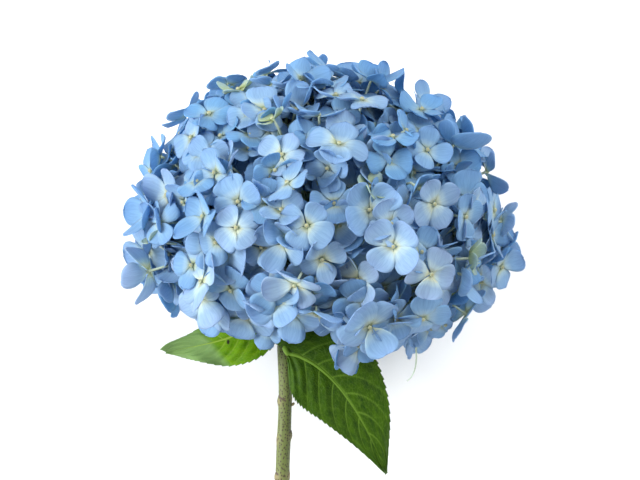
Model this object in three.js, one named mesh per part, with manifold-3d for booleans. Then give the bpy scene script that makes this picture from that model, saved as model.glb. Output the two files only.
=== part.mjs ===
// A cut mophead hydrangea lying on a table: one woody stem, two leaves and a head of florets.
//
// Everything is laid out in the flower's own frame and then laid down as one group:
//   x across the flower, y along its axis towards the crown, z out of its upper side.
// Lengths are in millimetres. The exported group rests on z = 0, +Z up.
import * as THREE from "three";
import { mergeVertices } from "three/addons/utils/BufferGeometryUtils.js";
import Module from "manifold-3d";

const wasm = await Module();
wasm.setup();

// ---- Driving dimensions ----------------------------------------------------------------------

const HEAD_RADIUS = 92; // half width of the head at its widest ring
const RING_HEIGHT = 5; // where that ring is
const CROWN_HEIGHT = 91; // the dome above that ring
const CROWN_FULLNESS = 2.15; // exponent of the dome's superellipse
const CROWN_SHIFT = -7; // the crown stands off to one side
const UNDERSIDE_DEPTH = 33; // the flatter part below the ring
const UNDERSIDE_SAG = 15; // how much lower it hangs on one side
const SAG_SPAN = [-10, 25]; // across the flower, where that side begins
const UNDERSIDE_OPENING = 42; // radius round the stem that is left to the stalks and leaves
const FLORETS = 284; // florets spread over the whole envelope before the leaves claim their room
const CYMES = 48;
const BRANCHES = 8;
const LAYER_STEP = 4.6; // neighbouring florets stand at different depths, this far apart
const LAYERS = 5;
const SETTLING_ROUNDS = 4;
const SITE_JITTER = 2.1;

const FLORET_RADIUS = 15;
const FLORET_NOTCH = 0.54; // how far out the gap between two sepals starts, as a share of the radius
const FLORET_LOBE = 0.4; // half the angle of a sepal's broad tip, in radians
const FLORET_DROOP = 1.1; // fall of the sepals' tips below the floret's middle
const FLORET_THICKNESS = 1;
const FLORET_GAP = 0.6; // between florets of one depth
const FLORET_HEADROOM = 2.8; // florets that face alike and pass this far above each other can overlap
const TRIMMING_ROUNDS = 12;
const TRIM = 0.9; // a floret narrows to this share in each round that it still touches another piece
const PEDICEL_RADIUS = 0.55;
const CYME_DEPTH = 24; // from a cyme's florets down to the knot where their pedicels meet
const CYME_KNOT_RADIUS = 2.2;
const STALK_RADIUS = 0.75;
const BRANCH_REACH = 0.42; // where a branch ends, as a share of the way from the hub to its cymes
const BRANCH_RADIUS = 1.5;
const BRANCH_KNOT_RADIUS = 2.8;
const GAP = 0.4; // between pieces that grow from one another
const SLIVER = 0.02; // facets thinner than this are left out where solids are joined

const FOCUS = new THREE.Vector3(0, 20, 0); // florets face away from here
const HUB = new THREE.Vector3(-8, -14, 0); // where the stem ends and the branches start
const HUB_RADIUS = 5.5;
const STEM_RADIUS = 3.45;
const STEM_END = -218; // the cut
const STEM_X = -18.8; // the stem stands off the middle of the head
const STEM_CUT_SLANT = 0.55;
const STEM_NODES = [-196, -165, -137, -110, -88.6, -71, -26]; // swollen rings along the stem
const NODE_SWELL = 0.7;
const NODE_LENGTH = 2.6;

const REST_HEIGHT = 83; // the head's middle above the table, where the lowest florets are pressed flat
const PRESSED_CLEARANCE = 3.2; // from the table to the middle of the lowest pressed florets

// The flower lies on its head and on the cut end of its stem, which sets how far it tips.
const LEAN_BACK = Math.asin((REST_HEIGHT - STEM_RADIUS) / -STEM_END);
const TABLE_NORMAL = new THREE.Vector3(0, Math.sin(LEAN_BACK), Math.cos(LEAN_BACK));

// Leaves: the petiole's points, the midrib's Bezier points, the direction that the blade faces, and half
// widths and base lobes on the two sides of the midrib.
const LEAF_THICKNESS = 0.8;
const PETIOLE_RADIUS = 1.7;
const LEAF_CLEARANCE = 18; // florets stay this far from a leaf
const LEAVES = {
  leaf_right: {
    petiole: [[-13, -27.5, 5.4], [-17, -33, 12], [-20, -42, 17]],
    midrib: [[-16.3, -46, 19], [5, -50, 25], [20, -75, 21], [33, -107.5, 6]],
    facing: [0.1, 0.12, 1],
    widths: [20, 25],
    lobes: [0, 15],
    fold: 0.18,
  },
  leaf_left: {
    petiole: [[-16.9, -28, 2], [-22, -25.5, 5], [-28, -24, 8]],
    midrib: [[-31, -25, 8], [-35, -40, 9], [-55, -41, 11], [-79, -47, -4]],
    facing: [0.05, 0.3, 0.95],
    widths: [16, 16],
    lobes: [5, 12],
    fold: 0.2,
  },
};

const COLOURS = { sepal: 0x86a9dc, stalk: 0x9db98a, leaf: 0x47701c, stem: 0x93a464 };

// ---- Helpers -----------------------------------------------------------------------------------

const UP = new THREE.Vector3(0, 1, 0);
const vector = (a) => new THREE.Vector3(...a);

// A repeatable number from 0 to 1 for each whole-number seed.
function chance(seed) {
  const s = Math.sin(seed * 12.9898 + 4.1414) * 43758.5453;
  return s - Math.floor(s);
}

function solid(geometry) {
  const bare = geometry.clone();
  bare.deleteAttribute("normal");
  bare.deleteAttribute("uv");
  bare.clearGroups();
  const merged = mergeVertices(bare, 1e-4);
  return new wasm.Manifold(
    new wasm.Mesh({
      numProp: 3,
      vertProperties: merged.attributes.position.array,
      triVerts: new Uint32Array(merged.index.array),
    }),
  );
}

function geometryOf(manifold) {
  const mesh = manifold.getMesh();
  const geometry = new THREE.BufferGeometry();
  geometry.setAttribute("position", new THREE.BufferAttribute(mesh.vertProperties, 3));
  geometry.setIndex(new THREE.BufferAttribute(mesh.triVerts, 1));
  geometry.computeVertexNormals();
  return geometry;
}

// Joins several closed geometries into one, without the slivers that their meetings leave.
function joined(geometries) {
  return geometryOf(geometries.map(solid).reduce((all, next) => all.add(next)).simplify(SLIVER));
}

// A tapered rod from one point to another.
function rod(from, to, fromRadius, toRadius, sides) {
  const along = to.clone().sub(from);
  const geometry = new THREE.CylinderGeometry(toRadius, fromRadius, along.length(), sides);
  geometry.translate(0, along.length() / 2, 0);
  geometry.applyQuaternion(new THREE.Quaternion().setFromUnitVectors(UP, along.normalize()));
  return geometry.translate(from.x, from.y, from.z);
}

function knot(at, radius, detail = 0) {
  return new THREE.OctahedronGeometry(radius, detail).translate(at.x, at.y, at.z);
}

function part(name, geometry, colour, roughness) {
  const material = new THREE.MeshStandardMaterial({ color: colour, roughness, metalness: 0 });
  const mesh = new THREE.Mesh(geometry, material);
  mesh.name = name;
  return mesh;
}

// ---- Head --------------------------------------------------------------------------------------

// Radius and height of the head's envelope at an angle from its crown.
function profile(angle) {
  const [s, c] = [Math.sin(angle), Math.cos(angle)];
  if (c < 0) return [HEAD_RADIUS * s, UNDERSIDE_DEPTH * c];
  const power = 2 / CROWN_FULLNESS;
  return [HEAD_RADIUS * s ** power, CROWN_HEIGHT * c ** power];
}

// Angles from the crown that share the envelope's area out evenly over count places.
function evenAngles(count) {
  const steps = 720;
  const areas = [0];
  const angles = [0];
  let [r0, h0] = profile(0);
  for (let i = 1; i <= steps; i++) {
    const angle = (Math.PI * i) / steps;
    const [r, h] = profile(angle);
    if (h < 0 && r < UNDERSIDE_OPENING) break;
    areas.push(areas[i - 1] + (r + r0) * Math.hypot(r - r0, h - h0));
    angles.push(angle);
    [r0, h0] = [r, h];
  }
  return Array.from({ length: count }, (_, i) => {
    const wanted = (areas.at(-1) * (i + 0.5)) / count;
    const k = areas.findIndex((a) => a >= wanted);
    const share = (wanted - areas[k - 1]) / (areas[k] - areas[k - 1]);
    return angles[k - 1] + share * (angles[k] - angles[k - 1]);
  });
}

// Points spread over the envelope along a golden spiral.
function envelopePoints(count, jitter) {
  const golden = Math.PI * (3 - Math.sqrt(5));
  return evenAngles(count).map((angle, i) => {
    const [radius, height] = profile(angle + (jitter * (chance(i) * 2 - 1)) / HEAD_RADIUS);
    const turn = i * golden + (jitter * (chance(i + 500) * 2 - 1)) / Math.max(radius, 20);
    const [x, z] = [radius * Math.cos(turn), radius * Math.sin(turn)];
    const sag = UNDERSIDE_SAG * THREE.MathUtils.smoothstep(x, ...SAG_SPAN);
    if (height < 0) return new THREE.Vector3(x, RING_HEIGHT + height * (1 + sag / UNDERSIDE_DEPTH), z);
    return new THREE.Vector3(x + CROWN_SHIFT * (height / CROWN_HEIGHT) ** 2, RING_HEIGHT + height, z);
  });
}

// A floret's middle and facing at a depth below a point of the envelope. Where the table is in the
// way it is pressed up and turned down flat.
function place(point, layer) {
  const facing = point.clone().sub(FOCUS).normalize();
  const middle = point.clone().addScaledVector(facing, -layer * LAYER_STEP);
  const height = middle.dot(TABLE_NORMAL) + REST_HEIGHT;
  const short = PRESSED_CLEARANCE + layer * LAYER_STEP - height;
  if (short > -8) facing.addScaledVector(TABLE_NORMAL, -(short + 8) / 8).normalize();
  if (short > 0) middle.addScaledVector(TABLE_NORMAL, short);
  return { point, middle, facing };
}

// How far apart two florets are, and whether one clears the other by passing above it. The more they
// lean away from each other, the more headroom that takes.
function spacing(a, b) {
  const apart = a.middle.clone().sub(b.middle);
  const facing = a.facing.clone().add(b.facing).normalize();
  const lean = a.facing.clone().cross(b.facing).length();
  const headroom = FLORET_HEADROOM + (FLORET_RADIUS * lean) / 2;
  return [apart.length(), Math.abs(apart.dot(facing)) > headroom];
}

// The largest radius that keeps a floret off the others near its own depth.
function reach(site, sites) {
  const rooms = sites.filter((other) => other.point !== site.point)
    .map((other) => spacing(site, other))
    .filter(([, clear]) => !clear)
    .map(([across]) => (across - FLORET_GAP) / 2);
  return Math.min(FLORET_RADIUS, ...rooms);
}

// Each floret's middle, facing, radius and turn. The florets settle into the layers that leave them
// the most room.
function floretSites() {
  const blades = Object.values(LEAVES).flatMap(bladePoints);
  const points = envelopePoints(FLORETS, SITE_JITTER).filter(
    (p) => blades.every((b) => b.distanceTo(p) > LEAF_CLEARANCE));
  const sites = points.map((point) => place(point, 0));
  for (let round = 0; round < SETTLING_ROUNDS; round++) {
    points.forEach((point, i) => {
      const choices = Array.from({ length: LAYERS }, (_, layer) => place(point, layer));
      const rooms = choices.map((choice) => reach(choice, sites));
      sites[i] = choices[rooms.indexOf(Math.max(...rooms))];
    });
  }
  return sites.map((site, i) => ({
    ...site, radius: reach(site, sites), turn: chance(i + 900) * Math.PI,
  }));
}

// A floret: four sepals as one thin lobed dish on a pedicel that runs back to a knot.
function floret({ middle, facing, radius, turn }, end) {
  const positions = [];
  const triangles = [];
  const frame = new THREE.Quaternion().setFromUnitVectors(UP, facing);
  const ring = (angles, shape, origin, rotation) => {
    angles.forEach((angle, i) => {
      const [r, y] = shape(i);
      const point = new THREE.Vector3(r * Math.cos(angle), y, r * Math.sin(angle));
      positions.push(...point.applyQuaternion(rotation).add(origin).toArray());
    });
  };
  const lobes = [FLORET_NOTCH, 1, 1];
  const quarters = [0, 1, 2, 3].map((i) => turn + (i * Math.PI) / 2);
  const half = Math.PI / 4;
  const rim = quarters.flatMap((a) => [a, a + half - FLORET_LOBE, a + half + FLORET_LOBE]);
  const way = new THREE.Quaternion().setFromUnitVectors(UP, middle.clone().sub(end).normalize());
  positions.push(...middle.toArray());
  ring(rim, (i) => [radius * lobes[i % 3], -FLORET_DROOP * lobes[i % 3]], middle, frame);
  ring(quarters, () => [PEDICEL_RADIUS, -FLORET_THICKNESS], middle, frame);
  ring(quarters, () => [PEDICEL_RADIUS, 0], end, way);
  for (let i = 0; i < 12; i++) {
    const [edge, next, neck] = [1 + i, 1 + ((i + 1) % 12), 13 + (Math.floor((i + 1) / 3) % 4)];
    triangles.push(0, next, edge, edge, next, neck);
    if (i % 3 === 1) triangles.push(next, 13 + (Math.floor((i + 2) / 3) % 4), neck);
  }
  for (let i = 0; i < 4; i++) {
    const [a, b] = [13 + i, 13 + ((i + 1) % 4)];
    triangles.push(a, b, a + 4, b, b + 4, a + 4);
  }
  triangles.push(17, 18, 19, 17, 19, 20);
  const geometry = new THREE.BufferGeometry();
  geometry.setAttribute("position", new THREE.Float32BufferAttribute(positions, 3));
  geometry.setIndex(triangles);
  return geometry;
}

const nearest = (point, places) =>
  places.reduce((best, p, i) => (p.distanceTo(point) < places[best].distanceTo(point) ? i : best), 0);

const mean = (points) =>
  points.reduce((sum, p) => sum.add(p), new THREE.Vector3()).divideScalar(points.length);

// The florets in their cymes, each with the knot where its pedicels meet.
function cymes() {
  const sites = floretSites();
  const centres = envelopePoints(CYMES, 0);
  const groups = centres.map(() => []);
  sites.forEach((site) => groups[nearest(site.middle, centres)].push(site));
  return groups.filter((group) => group.length).map((florets) => {
    const middle = mean(florets.map((f) => f.middle));
    const inwards = HUB.clone().sub(middle).normalize();
    return { florets, knot: middle.addScaledVector(inwards, CYME_DEPTH) };
  });
}

// A cyme's floret with its pedicel.
function floretOn(cyme, site) {
  const outwards = site.middle.clone().sub(cyme.knot).normalize();
  return floret(site, cyme.knot.clone().addScaledVector(outwards, 0.4 * CYME_KNOT_RADIUS));
}

// A whole cyme: its florets, their knot and the stalk that ends just short of the branch.
function cymeGeometry(cyme) {
  const towards = cyme.foot.clone().sub(cyme.knot);
  const end = cyme.knot.clone().addScaledVector(
    towards.clone().normalize(), towards.length() - BRANCH_KNOT_RADIUS - GAP);
  const head = cyme.knot.clone().lerp(end, (0.3 * CYME_KNOT_RADIUS) / cyme.knot.distanceTo(end));
  const stalk = rod(end, head, STALK_RADIUS, STALK_RADIUS, 4);
  return joined([
    knot(cyme.knot, CYME_KNOT_RADIUS), stalk, ...cyme.florets.map((site) => floretOn(cyme, site)),
  ]);
}

// Narrows the florets that still touch another cyme or a piece beside the head, until none does.
function trimFlorets(all, beside) {
  const touches = (a, b) => a.intersect(b).volume() > 0;
  for (let round = 0; round < TRIMMING_ROUNDS; round++) {
    const solids = all.map((cyme) => solid(cymeGeometry(cyme)));
    const crowded = all.flatMap((cyme, i) => {
      const near = [...solids, ...beside].filter((s) => s !== solids[i] && touches(s, solids[i]));
      return cyme.florets.filter((site) => {
        const own = near.length ? solid(floretOn(cyme, site)) : null;
        return near.some((s) => touches(s, own));
      });
    });
    if (!crowded.length) return;
    crowded.forEach((site) => {
      site.radius *= TRIM;
    });
  }
}

// The branches from the hub and the cymes that they carry.
function head(beside) {
  const all = cymes();
  const spread = Array.from({ length: BRANCHES }, (_, i) => {
    const height = 0.95 - (1.35 * (i + 0.5)) / BRANCHES;
    const turn = i * Math.PI * (3 - Math.sqrt(5)) + 0.6;
    const radius = Math.sqrt(1 - height * height);
    return new THREE.Vector3(radius * Math.cos(turn), height, radius * Math.sin(turn));
  });
  const served = spread.map(() => []);
  all.forEach((cyme) => {
    const direction = cyme.knot.clone().sub(HUB).normalize();
    served[nearest(direction, spread)].push(cyme);
  });
  const branches = served.filter((group) => group.length).map((group, i) => {
    const tip = HUB.clone().lerp(mean(group.map((c) => c.knot)), BRANCH_REACH);
    const foot = HUB.clone().lerp(tip, (HUB_RADIUS + GAP) / HUB.distanceTo(tip));
    const rodOut = rod(foot, tip, BRANCH_RADIUS * 1.2, BRANCH_RADIUS, 6);
    group.forEach((cyme) => {
      cyme.foot = tip;
    });
    return part(`branch_${i + 1}`, joined([knot(tip, BRANCH_KNOT_RADIUS, 1), rodOut]), COLOURS.stalk, 0.6);
  });
  const ordered = served.flat();
  trimFlorets(ordered, [...beside, ...branches].map((mesh) => solid(mesh.geometry)));
  return [...branches, ...ordered.map((cyme, i) =>
    part(`cyme_${String(i + 1).padStart(2, "0")}`, cymeGeometry(cyme), COLOURS.sepal, 0.6))];
}

// ---- Stem --------------------------------------------------------------------------------------

// Where the stem's middle is at a height: it wanders a little, then leans over to the hub.
function stemMiddle(height) {
  const wander = 0.7 * Math.sin((height + 90) / 15);
  const lean = THREE.MathUtils.smoothstep(height, -45, HUB.y) * (HUB.x - STEM_X);
  return STEM_X + wander * (1 - THREE.MathUtils.smoothstep(height, -60, HUB.y)) + lean;
}

function stem() {
  const outline = [[0, STEM_END - 0.01]];
  const heights = [STEM_END];
  for (const node of STEM_NODES) heights.push(node - NODE_LENGTH, node, node + NODE_LENGTH);
  heights.push(-70, -55, HUB.y - HUB_RADIUS - 2);
  for (const y of heights.sort((a, b) => a - b)) {
    outline.push([STEM_RADIUS + (STEM_NODES.includes(y) ? NODE_SWELL : 0), y]);
  }
  for (let i = 1; i < 5; i++) {
    const angle = -0.9 + (i * (Math.PI / 2 + 0.9)) / 5;
    outline.push([HUB_RADIUS * Math.cos(angle), HUB.y + HUB_RADIUS * Math.sin(angle)]);
  }
  outline.push([0, HUB.y + HUB_RADIUS]);
  const body = new THREE.LatheGeometry(outline.map(([x, y]) => new THREE.Vector2(x, y)), 12);
  const at = body.attributes.position;
  for (let i = 0; i < at.count; i++) {
    const y = at.getY(i);
    const cut = y <= STEM_END ? at.getX(i) * STEM_CUT_SLANT : 0;
    at.setXYZ(i, at.getX(i) + stemMiddle(y), y + cut, at.getZ(i));
  }
  return part("stem", geometryOf(solid(body)), COLOURS.stem, 0.7);
}

// ---- Leaves ------------------------------------------------------------------------------------

// Share of a leaf's greatest half width at t, from its base at 0 to its tip at 1.
const leafWidth = (t) => Math.sin(Math.PI * t ** 0.62) ** 0.9;

// A point of a leaf's blade: t runs from base to tip, v from edge to edge (-1 to 1).
function leafPoint(leaf, midrib, t, v, lift) {
  const along = midrib.getTangent(t);
  const facing = vector(leaf.facing);
  facing.addScaledVector(along, -facing.dot(along)).normalize();
  const side = new THREE.Vector3().crossVectors(along, facing).multiplyScalar(-1);
  const which = v < 0 ? 0 : 1;
  const width = Math.max(leaf.widths[which] * leafWidth(t), 0.5 + 4 * (1 - t) ** 8);
  const back = leaf.lobes[which] * v * v * (1 - t) ** 4;
  return midrib.getPoint(t)
    .addScaledVector(side, v * width)
    .addScaledVector(along, -back)
    .addScaledVector(facing, lift + leaf.fold * width * (Math.abs(v) - 0.9 * v * v));
}

// A few points over a blade.
function bladePoints(leaf) {
  const midrib = new THREE.CubicBezierCurve3(...leaf.midrib.map(vector));
  const places = Array.from({ length: 33 }, (_, i) => [Math.floor(i / 3) / 10, (i % 3) - 1]);
  return places.map(([t, v]) => leafPoint(leaf, midrib, t, v, 0));
}

function leafMesh(name, leaf) {
  const midrib = new THREE.CubicBezierCurve3(...leaf.midrib.map(vector));
  const blade = new THREE.BoxGeometry(2, 1, 1, 6, 1, 12);
  const at = blade.attributes.position;
  for (let i = 0; i < at.count; i++) {
    const t = THREE.MathUtils.clamp(at.getZ(i) + 0.5, 0.001, 0.999);
    const p = leafPoint(leaf, midrib, t, at.getX(i), at.getY(i) * LEAF_THICKNESS);
    at.setXYZ(i, p.x, p.y, p.z);
  }
  const path = new THREE.CatmullRomCurve3([...leaf.petiole.map(vector), midrib.getPoint(0.12)]);
  const section = new THREE.Shape().absarc(0, 0, PETIOLE_RADIUS, 0, Math.PI * 2);
  const petiole = new THREE.ExtrudeGeometry(section, {
    extrudePath: path, steps: 6, curveSegments: 3, bevelEnabled: false,
  });
  return part(name, joined([blade, petiole]), COLOURS.leaf, 0.5);
}

// ---- The whole flower --------------------------------------------------------------------------

const flower = new THREE.Group();
const foliage = [stem(), ...Object.entries(LEAVES).map(([name, leaf]) => leafMesh(name, leaf))];
flower.add(...foliage, ...head(foliage));
flower.rotation.x = LEAN_BACK;
flower.updateMatrixWorld(true);

// The origin is on the table under the middle of the flower's box.
const hydrangea = new THREE.Group();
const box = new THREE.Box3().setFromObject(flower, true);
flower.position.set(-(box.min.x + box.max.x) / 2, -(box.min.y + box.max.y) / 2, -box.min.z);
hydrangea.add(flower);
export default hydrangea;
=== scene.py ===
import math

import bpy
import numpy as np
from mathutils import Matrix, Vector

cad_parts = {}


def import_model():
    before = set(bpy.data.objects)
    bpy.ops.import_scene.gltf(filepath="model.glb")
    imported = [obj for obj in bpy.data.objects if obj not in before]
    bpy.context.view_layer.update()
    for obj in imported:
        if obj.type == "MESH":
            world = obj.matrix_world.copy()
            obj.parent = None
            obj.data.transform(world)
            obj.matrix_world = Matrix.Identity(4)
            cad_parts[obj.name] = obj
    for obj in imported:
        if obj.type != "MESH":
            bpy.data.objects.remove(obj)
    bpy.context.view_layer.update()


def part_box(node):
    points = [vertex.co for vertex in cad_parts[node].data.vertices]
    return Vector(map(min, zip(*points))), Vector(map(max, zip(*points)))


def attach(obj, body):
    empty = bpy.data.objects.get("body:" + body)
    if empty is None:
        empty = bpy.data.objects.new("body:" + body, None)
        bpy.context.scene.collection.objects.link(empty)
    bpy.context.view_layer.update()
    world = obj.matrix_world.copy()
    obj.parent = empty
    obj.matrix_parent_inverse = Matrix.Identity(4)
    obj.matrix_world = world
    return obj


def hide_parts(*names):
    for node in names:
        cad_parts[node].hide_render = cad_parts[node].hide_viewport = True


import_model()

# A cut mophead hydrangea on a table. Shapes are laid out in the flower's own frame, in millimetres:
# x across the flower, y along its axis towards the crown, z out of its upper side.

# ---- Driving dimensions, as in the part ---------------------------------------------------------

HEAD_RADIUS, RING_HEIGHT, CROWN_HEIGHT, CROWN_FULLNESS, CROWN_SHIFT = 92, 5, 91, 2.15, -7
UNDERSIDE_DEPTH, UNDERSIDE_SAG, SAG_SPAN, UNDERSIDE_OPENING = 33, 15, (-10, 25), 42
FLORETS, CYMES, BRANCHES = 284, 48, 8
LAYER_STEP, LAYERS, SETTLING_ROUNDS, SITE_JITTER = 4.6, 5, 4, 2.1
FLORET_RADIUS, FLORET_GAP, FLORET_HEADROOM = 15, 0.6, 2.8
CYME_DEPTH, BRANCH_REACH, BRANCH_KNOT_RADIUS = 24, 0.42, 2.8
FOCUS = np.array([0.0, 20.0, 0.0])
HUB, HUB_RADIUS = np.array([-8.0, -14.0, 0.0]), 5.5
STEM_RADIUS, STEM_END, STEM_X = 3.45, -218, -18.8
STEM_CUT_SLANT = 0.55
STEM_NODES = [-196, -165, -137, -110, -88.6, -71, -26]
NODE_SWELL = 0.7
REST_HEIGHT, PRESSED_CLEARANCE = 83, 3.2
LEAF_CLEARANCE = 18
LEAVES = {
    "leaf_right": {
        "petiole": [[-13, -27.5, 5.4], [-17, -33, 12], [-20, -42, 17]],
        "midrib": [[-16.3, -46, 19], [5, -50, 25], [20, -75, 21], [33, -107.5, 6]],
        "facing": [0.1, 0.12, 1], "widths": [20, 25], "lobes": [0, 15], "fold": 0.18},
    "leaf_left": {
        "petiole": [[-16.9, -28, 2], [-22, -25.5, 5], [-28, -24, 8]],
        "midrib": [[-31, -25, 8], [-35, -40, 9], [-55, -41, 11], [-79, -47, -4]],
        "facing": [0.05, 0.3, 0.95], "widths": [16, 16], "lobes": [5, 12], "fold": 0.2},
}
LEAN_BACK = math.asin((REST_HEIGHT - STEM_RADIUS) / -STEM_END)
TABLE_NORMAL = np.array([0, math.sin(LEAN_BACK), math.cos(LEAN_BACK)])
GOLDEN = math.pi * (3 - math.sqrt(5))

# ---- Looks ----------------------------------------------------------------------------------------

SEPAL_THICKNESS = 0.3
PEDICEL_RADIUS = 0.55
LEAF_THICKNESS = 0.35
LEAN = 0.55  # how far florets lean out of their facing
CROWN_UPTURN = 1.1  # how far the florets of the crown's upper side turn up
SKIRT_DROP = 6.0  # how far the lowest florets of the upper side hang below their place
SEPAL_REACH = (12.4, 15.2)
YOUNG_SHARE, LOW_YOUNG_SHARE, YOUNG_REACH, YOUNG_DEPTH = 0.02, 0.05, 9.5, 3
LOWER_DEPTHS = (3.5, 8.0)  # how far below a floret the smaller ones beside it stand
LOW_GAP = 0.0002  # from the table to what is pressed hardest, in metres

rng = np.random.default_rng(7)


def unit(v):
    v = np.asarray(v, float)
    return v / np.linalg.norm(v, axis=-1, keepdims=True)


def chance(seed):
    s = math.sin(seed * 12.9898 + 4.1414) * 43758.5453
    return s - math.floor(s)


def turned(origin, target):
    """The matrix of the shortest turn from one unit vector to another."""
    v, c = np.cross(origin, target), float(np.dot(origin, target))
    k = np.array([[0, -v[2], v[1]], [v[2], 0, -v[0]], [-v[1], v[0], 0]])
    return np.eye(3) + k + k @ k / (1 + c)


def smoothstep(x, low, high):
    t = np.clip((x - low) / (high - low), 0, 1)
    return t * t * (3 - 2 * t)


def bezier(points, t):
    p = np.asarray(points, float)
    t = np.asarray(t, float)[..., None]
    u = 1 - t
    return u ** 3 * p[0] + 3 * u ** 2 * t * p[1] + 3 * u * t * t * p[2] + t ** 3 * p[3]


def bezier_way(points, t):
    p = np.asarray(points, float)
    t = np.asarray(t, float)[..., None]
    a, b, c = p[1] - p[0], p[2] - p[1], p[3] - p[2]
    return unit((1 - t) ** 2 * a + 2 * (1 - t) * t * b + t * t * c)


# ---- Where everything grows, as in the part ---------------------------------------------------------

def profile(angle):
    s, c = math.sin(angle), math.cos(angle)
    if c < 0:
        return HEAD_RADIUS * s, UNDERSIDE_DEPTH * c
    power = 2 / CROWN_FULLNESS
    return HEAD_RADIUS * s ** power, CROWN_HEIGHT * c ** power


def even_angles(count):
    areas, angles = [0.0], [0.0]
    r0, h0 = profile(0)
    for i in range(1, 721):
        angle = math.pi * i / 720
        r, h = profile(angle)
        if h < 0 and r < UNDERSIDE_OPENING:
            break
        areas.append(areas[-1] + (r + r0) * math.hypot(r - r0, h - h0))
        angles.append(angle)
        r0, h0 = r, h
    return np.interp(areas[-1] * (np.arange(count) + 0.5) / count, areas, angles)


def envelope_points(count, jitter):
    points = []
    for i, angle in enumerate(even_angles(count)):
        radius, height = profile(angle + jitter * (chance(i) * 2 - 1) / HEAD_RADIUS)
        turn = i * GOLDEN + jitter * (chance(i + 500) * 2 - 1) / max(radius, 20)
        x, z = radius * math.cos(turn), radius * math.sin(turn)
        if height < 0:
            height *= 1 + UNDERSIDE_SAG * smoothstep(x, *SAG_SPAN) / UNDERSIDE_DEPTH
        else:
            x += CROWN_SHIFT * (height / CROWN_HEIGHT) ** 2
        points.append([x, RING_HEIGHT + height, z])
    return np.array(points)


def place(point, layer):
    facing = unit(point - FOCUS)
    middle = point - facing * layer * LAYER_STEP
    short = PRESSED_CLEARANCE + layer * LAYER_STEP - middle @ TABLE_NORMAL - REST_HEIGHT
    if short > -8:
        facing = unit(facing - TABLE_NORMAL * (short + 8) / 8)
    if short > 0:
        middle = middle + TABLE_NORMAL * short
    return middle, facing


def reach(site, middles, facings, own):
    apart = site[0] - middles
    along = np.abs((apart * unit(site[1] + facings)).sum(1))
    lean = np.linalg.norm(np.cross(site[1], facings), axis=1)
    across = np.linalg.norm(apart, axis=1)
    clear = along > FLORET_HEADROOM + FLORET_RADIUS * lean / 2
    across[clear | (np.arange(len(across)) == own)] = np.inf
    return min(FLORET_RADIUS, (across.min() - FLORET_GAP) / 2)


def leaf_point(leaf, t, v, lift=0.0):
    """Points of a blade: t runs from base to tip, v from edge to edge."""
    along = bezier_way(leaf["midrib"], t)
    facing = np.array(leaf["facing"], float)
    facing = unit(facing - (along @ facing)[..., None] * along)
    side = -np.cross(along, facing)
    widths = np.where(v < 0, leaf["widths"][0], leaf["widths"][1])
    lobes = np.where(v < 0, leaf["lobes"][0], leaf["lobes"][1])
    width = np.maximum(widths * np.sin(np.pi * t ** 0.62) ** 0.9, 0.5 + 4 * (1 - t) ** 8)
    back = lobes * v * v * (1 - t) ** 4
    rise = lift + leaf["fold"] * width * (np.abs(v) - 0.9 * v * v)
    return (bezier(leaf["midrib"], t) + side * (v * width)[..., None] - along * back[..., None]
            + facing * rise[..., None])


def floret_sites():
    k = np.arange(33)
    blades = np.concatenate([leaf_point(leaf, (k // 3) / 10, k % 3 - 1.0) for leaf in LEAVES.values()])
    points = [p for p in envelope_points(FLORETS, SITE_JITTER)
              if np.linalg.norm(blades - p, axis=1).min() > LEAF_CLEARANCE]
    sites = [place(p, 0) for p in points]
    middles, facings = np.array([s[0] for s in sites]), np.array([s[1] for s in sites])
    for _ in range(SETTLING_ROUNDS):
        for i, point in enumerate(points):
            choices = [place(point, layer) for layer in range(LAYERS)]
            best = int(np.argmax([reach(c, middles, facings, i) for c in choices]))
            middles[i], facings[i] = choices[best]
    radii = [reach((middles[i], facings[i]), middles, facings, i) for i in range(len(points))]
    return [(middles[i], facings[i], radii[i], chance(i + 900) * math.pi) for i in range(len(points))]


def cymes():
    centres = envelope_points(CYMES, 0)
    groups = [[] for _ in centres]
    for site in floret_sites():
        groups[int(np.argmin(np.linalg.norm(centres - site[0], axis=1)))].append(site)
    made = []
    for florets in filter(None, groups):
        middle = np.mean([f[0] for f in florets], axis=0)
        made.append((florets, middle + unit(HUB - middle) * CYME_DEPTH))
    return made


def branches():
    """Each branch's tip and the cymes it carries."""
    spread = []
    for i in range(BRANCHES):
        height = 0.95 - 1.35 * (i + 0.5) / BRANCHES
        turn, radius = i * GOLDEN + 0.6, math.sqrt(1 - height * height)
        spread.append([radius * math.cos(turn), height, radius * math.sin(turn)])
    served = [[] for _ in spread]
    for cyme in cymes():
        way = unit(cyme[1] - HUB)
        served[int(np.argmin(np.linalg.norm(np.array(spread) - way, axis=1)))].append(cyme)
    return [(HUB + (np.mean([c[1] for c in s], axis=0) - HUB) * BRANCH_REACH, s) for s in served if s]


def stem_middle(y):
    straight = 1 - smoothstep(y, -60, HUB[1])
    lean = smoothstep(y, -45, HUB[1]) * (HUB[0] - STEM_X)
    return STEM_X + 0.7 * np.sin((y + 90) / 15) * straight + lean


def world(points):
    """From the flower's frame to the row frame, in metres, before the shift onto the table."""
    x, y, z = np.asarray(points, float).T / 1000
    c, s = math.cos(LEAN_BACK), math.sin(LEAN_BACK)
    return np.stack([x, y * c - z * s, y * s + z * c], 1)


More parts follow.
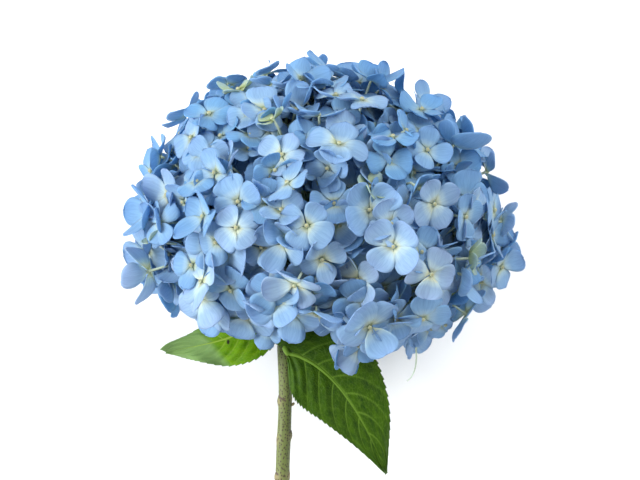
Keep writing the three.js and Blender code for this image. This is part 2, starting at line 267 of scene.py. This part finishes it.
def stem_shift():
    """How far the part was moved to stand on the table: its stem's box against the one made here."""
    cut = STEM_END + STEM_CUT_SLANT * STEM_RADIUS * np.sin(np.arange(12) * math.pi / 6)
    rows = [(STEM_END, STEM_RADIUS)]
    rows += [(y, STEM_RADIUS + NODE_SWELL) for y in STEM_NODES]
    ring = np.arange(12) * math.pi / 6
    points = []
    for y, r in rows:
        ys = cut if y == STEM_END else np.full(12, float(y))
        points.append(np.stack([r * np.sin(ring) + stem_middle(float(y)), ys, r * np.cos(ring)], 1))
    mine = world(np.concatenate(points))
    return np.array(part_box("stem")[0]) - mine.min(0)


SHIFT = stem_shift()

# ---- Meshes -----------------------------------------------------------------------------------------

PRESS = 0.003  # whatever would come nearer to the table than this, in metres, is pressed flat above it


class Piece:
    """Collects vertices, faces and one number of each kind per vertex, then makes an object."""

    def __init__(self, *kinds):
        self.points, self.faces, self.count = [], [], 0
        self.values = {kind: [] for kind in kinds}

    def add(self, points, faces, **values):
        self.points.append(points)
        self.faces += [tuple(int(i) + self.count for i in f) for f in faces]
        self.count += len(points)
        for kind, held in self.values.items():
            held.append(np.broadcast_to(np.asarray(values.get(kind, 0.0), float), len(points)))

    def make(self, name, material, node):
        mesh = bpy.data.meshes.new(name)
        at = world(np.concatenate(self.points)) + SHIFT
        low = at[:, 2] < PRESS
        span = PRESS - LOW_GAP
        at[low, 2] = LOW_GAP + span * np.exp((at[low, 2] - PRESS) / span)
        mesh.from_pydata(at.tolist(), [], self.faces)
        for kind, held in self.values.items():
            attribute = mesh.attributes.new(kind, "FLOAT", "POINT")
            attribute.data.foreach_set("value", np.concatenate(held).astype(np.float32))
        mesh.polygons.foreach_set("use_smooth", [True] * len(mesh.polygons))
        mesh.materials.append(material)
        made = bpy.data.objects.new(name, mesh)
        bpy.context.collection.objects.link(made)
        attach(made, "root")
        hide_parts(node)
        return made


def shell(grid, thickness):
    """A closed thin shell under a grid of points, its upper side first."""
    n, m = grid.shape[:2]
    du, dv = np.gradient(grid, axis=0), np.gradient(grid, axis=1)
    normal = np.cross(dv, du)
    normal /= np.linalg.norm(normal, axis=2, keepdims=True) + 1e-9
    points = np.concatenate([grid.reshape(-1, 3), (grid - normal * thickness).reshape(-1, 3)])
    k = np.arange(n * m).reshape(n, m)
    a, b, c, d = k[:-1, :-1].ravel(), k[1:, :-1].ravel(), k[1:, 1:].ravel(), k[:-1, 1:].ravel()
    under = n * m
    faces = list(zip(a, d, c, b)) + [tuple(i + under for i in f) for f in zip(a, b, c, d)]
    edge = np.concatenate([k[0, :], k[1:, -1], k[-1, -2::-1], k[-2:0:-1, 0]])
    for p, q in zip(edge, np.roll(edge, -1)):
        faces.append((q, p, p + under, q + under))
    return points, faces


def side_faces(rings, sides):
    """The faces between closed rings of points."""
    faces = []
    for i in range(rings - 1):
        for j in range(sides):
            a, b = i * sides + j, i * sides + (j + 1) % sides
            faces.append((a, b, b + sides, a + sides))
    return faces


def tube(path, radii, sides):
    """A closed round tube along a path."""
    path, n = np.asarray(path, float), len(path)
    ways = unit(np.gradient(path, axis=0))
    across = np.cross(ways[0], [0.0, 0.0, 1.0])
    if np.linalg.norm(across) < 0.1:
        across = np.cross(ways[0], [1.0, 0.0, 0.0])
    rings = []
    for way, middle, radius in zip(ways, path, np.broadcast_to(radii, n)):
        across = unit(across - way * (across @ way))
        other = np.cross(way, across)
        turn = np.arange(sides) * 2 * math.pi / sides
        rings.append(middle + radius * (np.outer(np.cos(turn), across) + np.outer(np.sin(turn), other)))
    ends = [tuple(range(sides))[::-1], tuple(range((n - 1) * sides, n * sides))]
    return np.concatenate(rings), ends + side_faces(n, sides)


def ball(middle, radius, squash=1.0, up=(0.0, 1.0, 0.0), rows=6, sides=10):
    """A closed ball, squashed along its up direction."""
    angles = np.linspace(0.12, math.pi - 0.12, rows)
    frame_of = turned(np.array([0.0, 1.0, 0.0]), unit(up))
    turn = np.arange(sides) * 2 * math.pi / sides
    rings = [np.stack([math.sin(a) * np.cos(turn), np.full(sides, math.cos(a) * squash),
                       math.sin(a) * np.sin(turn)], 1) for a in angles]
    points = np.concatenate(rings) * radius @ frame_of.T + middle
    ends = [tuple(range(sides))[::-1], tuple(range((rows - 1) * sides, rows * sides))]
    return points, ends + side_faces(rows, sides)


# ---- Florets ----------------------------------------------------------------------------------------

def sepal(rows, columns, radius, width, cup, curl, twist, wave, phase, lift):
    """A grid of points of one sepal: x out from the floret's middle, y up, z across."""
    s = np.linspace(0, 1, rows)[:, None]
    v = np.linspace(-1, 1, columns)[None, :]
    u = s * (2 - s)
    outline = u ** 0.62 * np.sqrt(1 - u ** 3.4) / 0.8
    half = np.maximum(radius * width / 2 * outline, 0.22)
    out = 0.7 + (radius - 0.7) * (u - 0.03 * v * v * u) + 0 * v
    rise = radius * (cup * u ** 2 + outline * (curl * v * v + twist * v * u
                                               + wave * v * v * np.sin(6.0 * u + phase))
                     - 0.035 * np.exp(-(v / 0.2) ** 2) * u * (1 - u) * 4)
    rise = rise + lift * np.minimum(u * 4, 1)
    across = v * half * (1 - 0.12 * np.abs(curl))
    return np.stack(np.broadcast_arrays(out, rise, across), 2), u + 0 * v, v + 0 * u


def add_floret(piece, middle, leaning, size, turn, tone, young, cup, grid_size=(10, 8)):
    basis = turned(np.array([0.0, 1.0, 0.0]), leaning)
    for j in range(4):
        angle = turn + math.pi / 4 + j * math.pi / 2 + rng.normal(0, 0.1)
        grid, u, v = sepal(*grid_size, size * rng.uniform(0.88, 1.06), rng.uniform(1.1, 1.42),
                           cup + rng.normal(0, 0.2), rng.normal(0.01, 0.11), rng.normal(0, 0.15),
                           rng.uniform(0.015, 0.07), rng.uniform(0, 6.28), 0.6 * (j % 2))
        c, s = math.cos(angle), math.sin(angle)
        spin = np.array([[c, 0, -s], [0, 1, 0], [s, 0, c]])
        grid = grid @ spin.T @ basis.T + middle
        points, faces = shell(grid, SEPAL_THICKNESS)
        piece.add(points, faces, along=np.tile(u.ravel(), 2), across=np.tile(v.ravel(), 2), tone=tone,
                  seed=rng.random(), young=young)
    bead = middle + leaning * 0.8
    points, faces = ball(bead, 1.05, 0.8, leaning)
    piece.add(points, faces, along=0.0, tone=tone, bead=1.0,
              across=np.clip((points - bead) @ leaning / 0.85, -1, 1))


def tilted(facing, amount):
    """A direction some way off a facing, to a random side."""
    aside_way = unit(np.cross(facing, rng.normal(size=3)))
    return unit(facing + aside_way * min(abs(rng.normal(0, amount)), 2 * amount))


# Where young, greenish florets stand on the head's upper side: x and y.
YOUNG_PLACES = np.array([[43, 23], [40, -10], [70, -7], [-36, 88], [-19, 62]])


def add_florets(sepals, stalks, florets, knot):
    """A cyme's florets, and the smaller ones that open below and between them."""
    for middle, facing, radius, turn in florets:
        pressed = (middle + REST_HEIGHT * TABLE_NORMAL) @ TABLE_NORMAL < 14
        crown = smoothstep(middle[1], 5, 80)
        leaning = tilted(facing, 0.08 if pressed else LEAN)
        upturn = crown * smoothstep(facing[2], 0.15, 0.6)
        leaning = unit(leaning + upturn * rng.uniform(0, CROWN_UPTURN) * np.array([0.0, 1.0, 0.0]))
        skirt = smoothstep(-middle[1], -12, 22) * smoothstep(middle[2], 0, 40)
        middle = middle - np.array([0.0, SKIRT_DROP * skirt, 0.0])
        size = float(np.clip(radius * 1.17, *SEPAL_REACH)) * rng.uniform(0.92, 1.06)
        near = np.linalg.norm(YOUNG_PLACES - middle[:2], axis=1).min()
        share = YOUNG_SHARE * (abs(middle[0]) < 70)
        young = float(rng.random() < share or (middle[2] > 0 and near < YOUNG_REACH))
        middle = middle - facing * YOUNG_DEPTH * young
        # Painted shade: each floret's colour lies at random between the clear and deep colours, and is
        # pushed deeper towards the crown to paint the darker top of the head.
        tone = np.clip(rng.random() * 0.8 + 0.5 * crown - 0.05, 0, 1)
        cup = rng.normal(0.04, 0.14) + 0.35 * (rng.random() < 0.25 + 0.4 * upturn) + 0.5 * young
        add_floret(sepals, middle, leaning, size * (1 - 0.35 * young), turn, tone, young, cup)
        add_pedicel(stalks, middle, leaning, knot)
        for depth in LOWER_DEPTHS:
            sideways = unit(np.cross(facing, rng.normal(size=3)))
            below = middle - facing * (depth + rng.uniform(-1.5, 1.5)) + sideways * rng.uniform(9, 14)
            if np.linalg.norm(below - knot) < 8:
                continue
            leaning = tilted(facing, 0.1 if pressed else 0.6)
            # Painted shade: the smaller florets below are deeper on average, which darkens the gaps
            # between the florets, and deeper still towards the crown; the rest differs at random.
            tone = np.clip(rng.uniform(0.15, 0.95) + 0.3 * crown, 0, 1)
            young = float(rng.random() < LOW_YOUNG_SHARE)
            add_floret(sepals, below, leaning, rng.uniform(10.5, 13.5) * (1 - 0.3 * young),
                       rng.uniform(0, 6.28), tone, young, rng.normal(0.1, 0.16) + 0.4 * young, (7, 6))
            add_pedicel(stalks, below, leaning, knot)


def add_pedicel(piece, middle, leaning, knot):
    to = np.linalg.norm(knot - middle)
    path = bezier([middle + leaning * 0.2, middle - leaning * to * 0.45,
                   knot + unit(middle - knot) * to * 0.3, knot], np.linspace(0, 1, 8))
    points, faces = tube(path, PEDICEL_RADIUS * np.linspace(1.15, 1, 8), 6)
    piece.add(points, faces, along=np.repeat(np.linspace(1, 0.5, 8), 6))


# ---- Materials --------------------------------------------------------------------------------------

class Nodes:
    """Short ways to add shader nodes to a new material."""

    def __init__(self, name):
        self.material = bpy.data.materials.new(name)
        self.material.use_nodes = True
        self.tree = self.material.node_tree
        self.tree.nodes.clear()

    def add(self, kind, **settings):
        node = self.tree.nodes.new(kind)
        for key, value in settings.items():
            setattr(node, key, value)
        return node

    def link(self, a, b):
        self.tree.links.new(a, b)

    def attribute(self, name):
        return self.add("ShaderNodeAttribute", attribute_name=name).outputs["Fac"]

    def math(self, operation, a, b=None):
        node = self.add("ShaderNodeMath", operation=operation)
        for socket, value in zip(node.inputs, (a, b)):
            if isinstance(value, (int, float)):
                socket.default_value = value
            elif value is not None:
                self.link(value, socket)
        return node.outputs[0]

    def ramp(self, value, stops, interpolation="EASE"):
        node = self.add("ShaderNodeValToRGB")
        node.color_ramp.interpolation = interpolation
        while len(node.color_ramp.elements) < len(stops):
            node.color_ramp.elements.new(0.5)
        for element, (at, colour) in zip(node.color_ramp.elements, stops):
            element.position = at
            element.color = (*colour, 1)
        self.link(value, node.inputs[0])
        return node.outputs["Color"]

    def mix(self, share, a, b, blend="MIX"):
        node = self.add("ShaderNodeMix", data_type="RGBA", blend_type=blend)
        for socket, value in zip((node.inputs[0], node.inputs[6], node.inputs[7]), (share, a, b)):
            if isinstance(value, (int, float)):
                socket.default_value = value
            elif isinstance(value, tuple):
                socket.default_value = (*value, 1)
            else:
                self.link(value, socket)
        return node.outputs[2]

    def noise(self, vector, scale, detail=3.0, roughness=0.5):
        node = self.add("ShaderNodeTexNoise")
        node.inputs["Scale"].default_value = scale
        node.inputs["Detail"].default_value = detail
        node.inputs["Roughness"].default_value = roughness
        if vector is not None:
            self.link(vector, node.inputs["Vector"])
        return node.outputs["Fac"]

    def vector(self, x, y, z):
        node = self.add("ShaderNodeCombineXYZ")
        for socket, value in zip(node.inputs, (x, y, z)):
            if isinstance(value, (int, float)):
                socket.default_value = value
            else:
                self.link(value, socket)
        return node.outputs[0]

    def bump(self, height, distance, strength=1.0):
        node = self.add("ShaderNodeBump")
        node.inputs["Distance"].default_value = distance
        node.inputs["Strength"].default_value = strength
        self.link(height, node.inputs["Height"])
        return node.outputs[0]

    def surface(self, colour, roughness, normal=None, through=0.0, sheen=0.0, specular=0.5):
        body = self.add("ShaderNodeBsdfPrincipled")
        body.inputs["Roughness"].default_value = roughness
        body.inputs["Specular IOR Level"].default_value = specular
        body.inputs["Sheen Weight"].default_value = sheen
        self.link(colour, body.inputs["Base Color"])
        if normal is not None:
            self.link(normal, body.inputs["Normal"])
        out = self.add("ShaderNodeOutputMaterial")
        if not through:
            self.link(body.outputs[0], out.inputs[0])
            return self.material
        lit = self.add("ShaderNodeBsdfTranslucent")
        self.link(colour, lit.inputs["Color"])
        both = self.add("ShaderNodeMixShader")
        both.inputs[0].default_value = through
        self.link(body.outputs[0], both.inputs[1])
        self.link(lit.outputs[0], both.inputs[2])
        self.link(both.outputs[0], out.inputs[0])
        return self.material


def sepal_material():
    n = Nodes("sepal")
    along, across = n.attribute("along"), n.attribute("across")
    tone, seed, young, bead = (n.attribute(k) for k in ("tone", "seed", "young", "bead"))
    place_in = n.add("ShaderNodeTexCoord").outputs["Object"]
    blotch = n.noise(place_in, 150, 3)
    reach_of = n.math("ADD", along, n.math("MULTIPLY", n.math("SUBTRACT", blotch, 0.5), 0.28))
    reach_of = n.math("ADD", reach_of, n.math("MULTIPLY", n.math("SUBTRACT", seed, 0.5), 0.12))
    clear = n.ramp(reach_of, [(0.0, (0.62, 0.66, 0.38)), (0.11, (0.76, 0.80, 0.62)),
                              (0.30, (0.60, 0.75, 0.80)), (0.54, (0.41, 0.58, 0.76)),
                              (1.0, (0.39, 0.54, 0.76))])
    # A darker, bluer copy of the clear colours: partly florets of a deeper hue, partly painted shade on
    # the crown and in the gaps between florets.
    deep_hue_and_shade = n.ramp(reach_of, [(0.0, (0.40, 0.50, 0.30)), (0.08, (0.43, 0.57, 0.52)),
                             (0.22, (0.30, 0.52, 0.70)), (0.50, (0.20, 0.44, 0.70)),
                             (1.0, (0.18, 0.41, 0.70))])
    colour = n.mix(tone, clear, deep_hue_and_shade)
    green = n.ramp(reach_of, [(0.0, (0.42, 0.50, 0.18)), (0.5, (0.50, 0.62, 0.40)),
                              (1.0, (0.42, 0.58, 0.58))])
    colour = n.mix(young, colour, green)
    lines = n.vector(n.math("MULTIPLY", across, 7.0), n.math("MULTIPLY", along, 1.3), seed)
    veins = n.noise(lines, 1.6, 2, 0.6)
    veins = n.ramp(veins, [(0.38, (0.82, 0.84, 0.88)), (0.62, (1.12, 1.10, 1.06))], "LINEAR")
    colour = n.mix(0.55, colour, n.mix(1.0, colour, veins, "MULTIPLY"))
    tip = n.ramp(across, [(0.35, (0.66, 0.70, 0.50)), (0.85, (0.52, 0.50, 0.30))])
    colour = n.mix(bead, colour, tip)
    grain = n.bump(n.noise(lines, 5, 2), 0.0003, 0.35)
    return n.surface(colour, 0.55, grain, 0.42, 0.15, 0.3)


def stalk_material():
    n = Nodes("stalk")
    along = n.attribute("along")
    blotch = n.noise(n.add("ShaderNodeTexCoord").outputs["Object"], 260, 3)
    colour = n.ramp(along, [(0.0, (0.20, 0.28, 0.09)), (0.5, (0.30, 0.40, 0.17)),
                            (1.0, (0.48, 0.58, 0.46))])
    shade = n.ramp(blotch, [(0.3, (0.8, 0.8, 0.75)), (0.7, (1.1, 1.1, 1.1))], "LINEAR")
    return n.surface(n.mix(1.0, colour, shade, "MULTIPLY"), 0.55, None, 0.0, 0.0, 0.4)


def stem_material():
    n = Nodes("stem")
    kinds = ("along", "turn", "scar", "pith", "flush")
    along, turn, scar, pith, flush = (n.attribute(k) for k in kinds)
    streak = n.vector(n.math("MULTIPLY", turn, 3.0), n.math("MULTIPLY", along, 0.05), 0.0)
    shade = n.noise(streak, 2.2, 4, 0.6)
    colour = n.ramp(shade, [(0.25, (0.08, 0.115, 0.024)), (0.5, (0.135, 0.165, 0.044)),
                            (0.8, (0.22, 0.25, 0.085))])
    patch = n.noise(n.vector(turn, n.math("MULTIPLY", along, 0.12), 4.0), 1.0, 3)
    brown = n.math("MULTIPLY", n.math("MULTIPLY", flush, patch), 0.9)
    colour = n.mix(brown, colour, (0.40, 0.26, 0.17))
    cells = n.add("ShaderNodeTexVoronoi", feature="F1", voronoi_dimensions="2D")
    cells.inputs["Scale"].default_value = 1.0
    n.link(n.vector(n.math("MULTIPLY", turn, 1.2), n.math("MULTIPLY", along, 0.55), 0.0),
           cells.inputs["Vector"])
    spots = n.ramp(cells.outputs["Distance"], [(0.19, (1, 1, 1)), (0.28, (0, 0, 0))])
    colour = n.mix(n.math("MULTIPLY", spots, 0.95), colour, (0.05, 0.035, 0.02))
    colour = n.mix(scar, colour, (0.07, 0.04, 0.03))
    colour = n.mix(pith, colour, (0.55, 0.58, 0.38))
    raised = n.bump(n.mix(0.6, shade, spots), 0.0004, 0.5)
    return n.surface(colour, 0.5, raised, 0.0, 0.0, 0.35)


def leaf_material(name, dark, light, vein_colour, through):
    n = Nodes(name)
    vein, t, v, under, mark = (n.attribute(k) for k in ("vein", "base", "across", "under", "mark"))
    flat = n.vector(n.math("MULTIPLY", v, 2.2), n.math("MULTIPLY", t, 4.0), under)
    blotch = n.noise(flat, 2.6, 5, 0.6)
    colour = n.mix(n.ramp(blotch, [(0.3, (0, 0, 0)), (0.72, (1, 1, 1))], "LINEAR"), dark, light)
    net = n.add("ShaderNodeTexVoronoi", feature="DISTANCE_TO_EDGE")
    net.inputs["Scale"].default_value = 9.0
    n.link(flat, net.inputs["Vector"])
    fine = n.ramp(net.outputs["Distance"], [(0.0, (1, 1, 1)), (0.10, (0, 0, 0))], "LINEAR")
    colour = n.mix(n.math("MULTIPLY", fine, 0.2), colour, vein_colour)
    colour = n.mix(n.math("MULTIPLY", vein, 0.9), colour, vein_colour)
    pale = n.mix(0.7, colour, (0.24, 0.38, 0.16))
    colour = n.mix(under, colour, pale)
    colour = n.mix(mark, colour, (0.02, 0.015, 0.01))
    raised = n.bump(n.mix(0.5, blotch, fine), 0.0006, 0.5)
    return n.surface(colour, 0.45, raised, through, 0.0, 0.15)


SEPAL = sepal_material()
STALK = stalk_material()
STEM = stem_material()
LEAF_DARK = leaf_material("leaf_dark", (0.012, 0.048, 0.0), (0.055, 0.13, 0.0),
                          (0.20, 0.36, 0.04), 0.15)
LEAF_BRIGHT = leaf_material("leaf_bright", (0.07, 0.21, 0.0), (0.18, 0.37, 0.0),
                            (0.36, 0.52, 0.07), 0.3)

# ---- Building ---------------------------------------------------------------------------------------


# A dried stalk that has lost its floret and hangs below the head: its points after the knot.
BARE_STALK = [[46.5, -40, 22], [48.5, -52, 17], [46.5, -58, 13], [43, -60.5, 11]]


def build_head():
    number = 0
    grown = branches()
    places = [np.mean([f[0] for f in c[0]], axis=0) for _, served in grown for c in served]
    bare = int(np.argmin([np.linalg.norm(p - BARE_STALK[0]) for p in places])) + 1
    for i, (tip, served) in enumerate(grown):
        foot = HUB + (tip - HUB) * (HUB_RADIUS + 0.4) / np.linalg.norm(tip - HUB)
        piece = Piece("along")
        piece.add(*tube(foot + (tip - foot) * np.linspace(0, 1, 7)[:, None],
                        [1.9, 1.7, 1.55, 1.5, 1.55, 1.7, 1.9], 10), along=0.1)
        piece.add(*ball(tip, BRANCH_KNOT_RADIUS, 0.9, unit(tip - HUB)), along=0.2)
        piece.make(f"branch_{i + 1}_stalk", STALK, f"branch_{i + 1}")
        for florets, knot in served:
            number += 1
            node = f"cyme_{number:02d}"
            sepals = Piece("along", "across", "tone", "seed", "young", "bead")
            stalks = Piece("along")
            add_florets(sepals, stalks, florets, knot)
            end = knot + (tip - knot) * (1 - (BRANCH_KNOT_RADIUS + 0.3) / np.linalg.norm(tip - knot))
            stalks.add(*tube(knot + (end - knot) * np.linspace(0, 1, 5)[:, None],
                             [0.8, 0.75, 0.75, 0.8, 0.95], 8), along=0.3)
            stalks.add(*ball(knot, 1.5), along=0.4)
            if number == bare:
                run = knot + (np.array(BARE_STALK[0]) - knot) * np.linspace(0, 0.95, 6)[:, None]
                path = np.concatenate([run, bezier(BARE_STALK, np.linspace(0, 1, 12))])
                stalks.add(*tube(path, np.linspace(0.6, 0.25, 18), 6), along=1.0)
            sepals.make(f"florets_{number:02d}", SEPAL, node)
            stalks.make(f"stalks_{number:02d}", STALK, node)


# Swellings of the stem: height, side (0 faces up, + to the right), size, reach along and round it.
BUMPS = [
    (-26, 0.0, 0.5, 3.0, 9.0), (-71.5, -1.5, 1.0, 2.2, 0.9), (-70, 1.7, 0.35, 2.0, 0.7),
    (-88.6, 1.6, 1.1, 2.4, 0.9), (-91, -1.6, 0.4, 2.6, 0.8), (-110, -1.4, 1.0, 2.6, 1.1),
    (-109, 1.5, 0.6, 2.2, 0.9), (-137, 1.4, 0.9, 2.4, 1.0), (-136, -1.7, 0.3, 2.2, 0.8),
    (-165, -1.5, 1.0, 2.4, 1.0), (-164, 1.6, 0.4, 2.4, 0.9), (-196, 1.5, 0.9, 2.6, 1.1),
]
# Dark scars: height, side, how far round they run, and how they slant.
SCARS = [
    (-69.6, -0.75, 0.95, -1.6), (-86.2, 1.35, 0.6, 1.2), (-107.6, -1.2, 0.7, -0.8),
    (-134.8, 1.2, 0.9, 1.1), (-162.6, -1.2, 0.9, -1.1), (-193.6, 1.2, 0.9, 1.0),
]


def aside(turn, side):
    """How far round the stem a place is from a side."""
    return np.abs((turn - side + math.pi) % (2 * math.pi) - math.pi)


def build_stem():
    sides = 48
    turn = np.arange(sides) * 2 * math.pi / sides
    y = np.unique(np.concatenate([np.linspace(STEM_END, -19.5, 230)]
                                 + [np.linspace(k - 4, k + 4, 25) for k in STEM_NODES]))
    y = y[(y >= STEM_END) & (y <= -19.5)]
    around, at = np.meshgrid(turn, y)
    radius = STEM_RADIUS - 0.05 + 0.09 * np.sin(at / 9) + 0.05 * np.cos(6 * around + at / 30)
    flush = np.zeros_like(at)
    for height, side, size, span, width in BUMPS:
        swell = np.exp(-((at - height) / span) ** 2 - (aside(around, side) / width) ** 2)
        radius += size * NODE_SWELL * swell
        flush = np.maximum(flush, swell)
    scar = np.zeros_like(at)
    for height, side, width, slant in SCARS:
        gap = aside(around, side)
        line = height + slant * ((around - side + math.pi) % (2 * math.pi) - math.pi) / width
        mark = np.exp(-((at - line) / 0.5) ** 2) * np.clip(1.3 - (gap / width) ** 2, 0, 1)
        radius -= 0.25 * mark
        scar = np.maximum(scar, mark)
    slant = STEM_CUT_SLANT * radius * np.sin(around) * np.clip(1 - (at - STEM_END) / 6, 0, 1)
    rings = np.stack([radius * np.sin(around) + stem_middle(y)[:, None], at + slant,
                      radius * np.cos(around)], 2)
    cap = []
    for a in np.linspace(-0.85, 1.5, 9):
        r, up = HUB_RADIUS * math.cos(a), HUB[1] + HUB_RADIUS * math.sin(a)
        cap.append(np.stack([r * np.sin(turn) + stem_middle(up), np.full(sides, up),
                             r * np.cos(turn)], 1))
    n = len(rings) + len(cap)
    points = np.concatenate([rings.reshape(-1, 3)] + cap)
    faces = [tuple(range((n - 1) * sides, n * sides))] + side_faces(n, sides)
    piece = Piece("along", "turn", "scar", "pith", "flush")
    rest = np.zeros(len(cap) * sides)
    piece.add(points, faces, along=points[:, 1], turn=np.tile(aside(turn, math.pi / 2) * 2, n),
              scar=np.concatenate([np.clip(scar.ravel() * 1.3, 0, 1), rest]),
              flush=np.concatenate([flush.ravel(), rest]))
    end = rings[0]
    middle = end.mean(0)
    for outer, inner, pith in ((1.0, 0.82, 0.25), (0.82, 0.4, 0.8), (0.4, 0.02, 1.0)):
        a, b = middle + (end - middle) * outer, middle + (end - middle) * inner
        ring_faces = [(j, j + sides, (j + 1) % sides + sides, (j + 1) % sides) for j in range(sides)]
        piece.add(np.concatenate([a, b]), ring_faces, along=-300.0, pith=pith)
    bud = np.array([stem_middle(-73.0) + STEM_RADIUS + 0.5, -73.0, 0.4])
    piece.add(*ball(bud, 0.75, 1.5, (0.7, 0.7, 0.0)), flush=0.9)
    piece.make("stem_skin", STEM, "stem")


def folded_strip():
    """A ridged strip of the blade that is folded up beside the leaf's base."""
    s = np.linspace(0, 1, 14)[:, None]
    left = bezier([[-35.5, -24, 13], [-34, -32, 15], [-31, -39, 15], [-26.6, -44.5, 13]], s[:, 0])
    right = bezier([[-27, -23, 14], [-26.8, -31, 15], [-26.5, -38, 15], [-25.8, -45, 13.4]], s[:, 0])
    v = np.linspace(0, 1, 21)[None, :, None]
    strip = right[:, None] * (1 - v) + left[:, None] * v
    strip[..., 2] += 0.25 * (1 - s) * np.cos(v[..., 0] * 10 * math.pi)
    return strip


def build_leaf(name, material, teeth, turned_tip=0.0, mark=None):
    """A blade with its veins; a turned tip shows the paler underside, and a mark is a dark spot."""
    leaf = LEAVES[name]
    rows, columns = 181, 71
    t = np.linspace(0.002, 0.998, rows)[:, None] + np.zeros((1, columns))
    v = np.linspace(-1, 1, columns)[None, :] + np.zeros((rows, 1))
    side = np.abs(v)
    lane = (t - 0.3 * side ** 1.3) * 7.5 + 0.25 * (v > 0)
    off = np.abs(lane - np.round(lane))
    fade = np.clip(1.15 - side, 0, 1) * (lane > 0.3)
    second = np.exp(-(off / (0.032 + 0.01 * side)) ** 2) * fade
    middle = np.exp(-(v / (0.022 + 0.014 * (1 - t))) ** 2)
    vein = np.clip(np.maximum(second * 0.8, middle), 0, 1)
    pucker = 0.38 * np.cos(np.pi * 2 * lane) * -np.sin(np.pi * np.clip(side, 0, 1)) - 0.45 * middle
    tip = turned_tip * smoothstep(t + 0.1 * v, 0.6, 0.68)
    waves = (1 + 1.6 * tip) * side ** 2 * np.sin(t * 17 + v * 2) + 3 * tip * side * (v < 0)
    tooth = (t * teeth) % 1.0
    edge = np.clip((side - 0.9) / 0.1, 0, 1)
    spread = v * (1 + edge * 0.055 * (tooth - 0.4))
    grid = leaf_point(leaf, np.clip(t + edge * 0.006 * tooth, 0.001, 0.999), spread, pucker + waves)
    points, faces = shell(grid[:, ::-1], LEAF_THICKNESS)
    piece = Piece("vein", "base", "across", "under", "mark")
    spot = np.zeros_like(t)
    if mark:
        spot = smoothstep(np.linalg.norm((grid - mark) / (0.8, 1.3, 9.0), axis=2), 1.1, 0.7)
    flipped = [np.tile(k[:, ::-1].ravel(), 2) for k in (vein, t, v, spot)]
    pale = np.concatenate([tip[:, ::-1].ravel(), np.ones(rows * columns)])
    piece.add(points, faces, vein=flipped[0], base=flipped[1], across=flipped[2], mark=flipped[3],
              under=pale)
    if turned_tip:
        piece.add(*shell(folded_strip(), LEAF_THICKNESS), under=1.0, base=0.1, across=0.2,
                  vein=np.tile(0.5 - 0.5 * np.cos(np.linspace(0, 10 * math.pi, 21)), 28))
    knee = leaf["petiole"]
    start = bezier(leaf["midrib"], 0.0)
    path = bezier([knee[0], knee[1], knee[2], start], np.linspace(0, 1, 14))
    run = bezier(leaf["midrib"], np.linspace(0.01, 0.92, 40))
    facing = unit(leaf["facing"])
    path = np.concatenate([path, run - facing * 0.75])
    radii = np.concatenate([np.linspace(1.9, 1.5, 14), np.linspace(1.35, 0.25, 40)])
    piece.add(*tube(path, radii, 12), vein=0.75, base=0.5, across=0.3)
    piece.make(f"{name}_blade", material, name)


build_head()
build_stem()
build_leaf("leaf_right", LEAF_DARK, 26)
build_leaf("leaf_left", LEAF_BRIGHT, 22, 1.0, (-46.5, -41.0, 10.0))

# ---- Table, lights and camera -----------------------------------------------------------------------

def floor_and_light():
    mesh = bpy.data.meshes.new("floor")
    mesh.from_pydata([(-4, -4, 0), (4, -4, 0), (4, 4, 0), (-4, 4, 0)], [], [(0, 1, 2, 3)])
    n = Nodes("floor")
    pale = n.ramp(n.noise(None, 3.0), [(0.3, (0.9, 0.9, 0.9)), (0.7, (0.93, 0.93, 0.93))])
    mesh.materials.append(n.surface(pale, 0.7, None, 0.0, 0.0, 0.2))
    plane = bpy.data.objects.new("floor", mesh)
    bpy.context.collection.objects.link(plane)
    sky = bpy.data.worlds.new("sky")
    sky.use_nodes = True
    sky.node_tree.nodes["Background"].inputs[0].default_value = (0.95, 0.97, 1, 1)
    sky.node_tree.nodes["Background"].inputs[1].default_value = 0.68
    bpy.context.scene.world = sky
    for at, size, watts in (((-1.1, -0.1, 0.8), 0.9, 26), ((0.8, 0.6, 1.2), 1.0, 19)):
        light = bpy.data.lights.new("softbox", "AREA")
        light.size, light.energy = size, watts
        lamp = bpy.data.objects.new("softbox", light)
        lamp.location = at
        lamp.rotation_euler = (-Vector(at)).to_track_quat("-Z", "Y").to_euler()
        bpy.context.collection.objects.link(lamp)
    bpy.context.scene.view_settings.view_transform = "Standard"


def look():
    """The camera looks down square to the stem, at the middle of the head."""
    camera = bpy.data.cameras.new("camera")
    camera.lens, camera.sensor_width = 100, 36
    eye = bpy.data.objects.new("camera", camera)
    origin, right, up, back = (world([p])[0] for p in ([0, 0, 0], [1, 0, 0], [0, 1, 0], [0, 0, 1]))
    axes = [Vector(unit(a - origin)) for a in (right, up, back)]
    eye.matrix_world = Matrix(axes).transposed().to_4x4()
    eye.location = Vector(world([[-0.5, 10.1, 900]])[0] + SHIFT)
    bpy.context.collection.objects.link(eye)
    bpy.context.scene.camera = eye


floor_and_light()
look()
